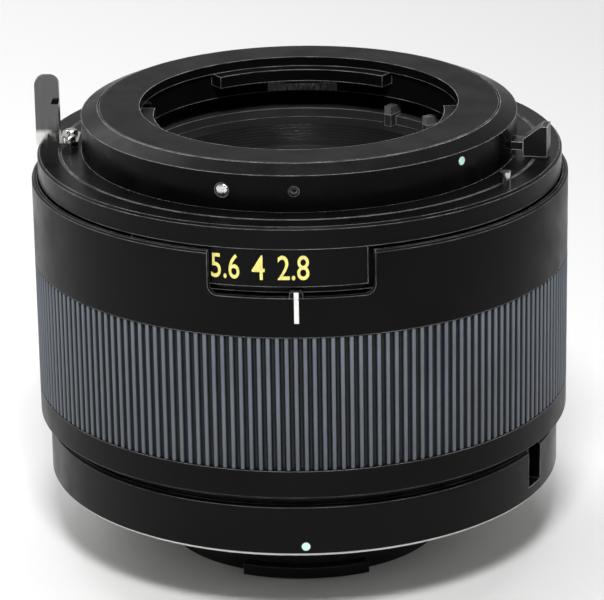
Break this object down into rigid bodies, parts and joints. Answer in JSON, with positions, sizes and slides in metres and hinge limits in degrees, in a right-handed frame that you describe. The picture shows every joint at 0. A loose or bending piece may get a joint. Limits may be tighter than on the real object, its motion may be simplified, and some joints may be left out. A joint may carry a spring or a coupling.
{
  "type": "camera teleconverter",
  "caption": "Short black lens converter with a ribbed grip, a female bayonet with a turning aperture scale ring in front and a male bayonet behind.",
  "frame": {"origin": "on the optical axis at the end of the rear bayonet tube, where the part stands", "axes": "+Z along the optical axis towards the lens, -Y to the index line at the front, +X to the right of the index line"},
  "size_m": [0.066, 0.066, 0.0589],
  "materials": {
    "barrel_black": "satin black anodised",
    "grip_rubber": "ribbed matt rubber",
    "collar_black": "satin black anodised",
    "bayonet_black": "satin black, bright worn edge",
    "scale_black": "satin black anodised",
    "rear_black": "satin black anodised",
    "rear_bayonet_black": "matt black",
    "baffle_black": "matt black",
    "cell_black": "matt black",
    "lever_steel": "satin chrome",
    "screw_steel": "bright nickel",
    "set_screw_black": "black oxide",
    "spring_steel": "spring steel",
    "coupling_black": "matt black",
    "release_black": "satin black",
    "index_green": "pale green enamel",
    "coated_glass": "coated glass"
  },
  "bodies": {
    "housing": {"main_barrel": "barrel_black", "grip_sleeve": "grip_rubber", "front_collar": "collar_black", "collar_screws": "screw_steel", "collar_set_screw": "set_screw_black", "front_index_dot": "index_green", "front_bayonet_ring": "bayonet_black", "bayonet_springs": "spring_steel", "bayonet_spring_screws": "screw_steel", "bayonet_stop_pin": "lever_steel", "front_light_baffle": "baffle_black", "scale_retaining_clip": "spring_steel", "release_leaf_spring": "spring_steel", "rear_mount_ring": "rear_black", "rear_index_dot": "index_green", "rear_mount_screws": "screw_steel", "rear_bayonet": "rear_bayonet_black", "rear_light_mask": "baffle_black", "optical_cell": "cell_black", "cell_screws": "screw_steel", "front_retaining_ring": "cell_black", "front_element": "coated_glass", "front_spacer": "cell_black", "second_element": "coated_glass", "third_element": "coated_glass", "middle_spacer": "cell_black", "fourth_element": "coated_glass", "fifth_element": "coated_glass", "rear_spacer": "cell_black", "sixth_element": "coated_glass", "rear_retaining_ring": "cell_black"},
    "aperture_scale": {"scale_ring": "scale_black", "aperture_lever": "lever_steel", "aperture_lever_screws": "screw_steel", "stop_stud": "lever_steel", "coupling_bars": "coupling_black", "rear_coupling_ring": "coupling_black"},
    "stop_down": {"stop_down_ring": "coupling_black", "stop_down_lever": "lever_steel"},
    "release": {"release_slider": "release_black", "release_block": "release_black"}
  },
  "joints": [
    {"name": "scale_turn", "type": "hinge", "parent": "housing", "child": "aperture_scale", "pos_m": [0, 0, 0.0488], "axis": [0, 0, 1], "range_deg": [0, 15.5]},
    {"name": "stop_down_turn", "type": "hinge", "parent": "housing", "child": "stop_down", "pos_m": [0, 0, 0.0478], "axis": [0, 0, 1], "range_deg": [0, 12], "stiffness_Nm_per_rad": 0.01, "springref_deg": -5.73},
    {"name": "release_slide", "type": "slide", "parent": "housing", "child": "release", "axis": [0.9724, -0.2334, 0], "range_m": [0, 0.0012], "stiffness_N_per_m": 300, "springref_m": -0.001}
  ]
}
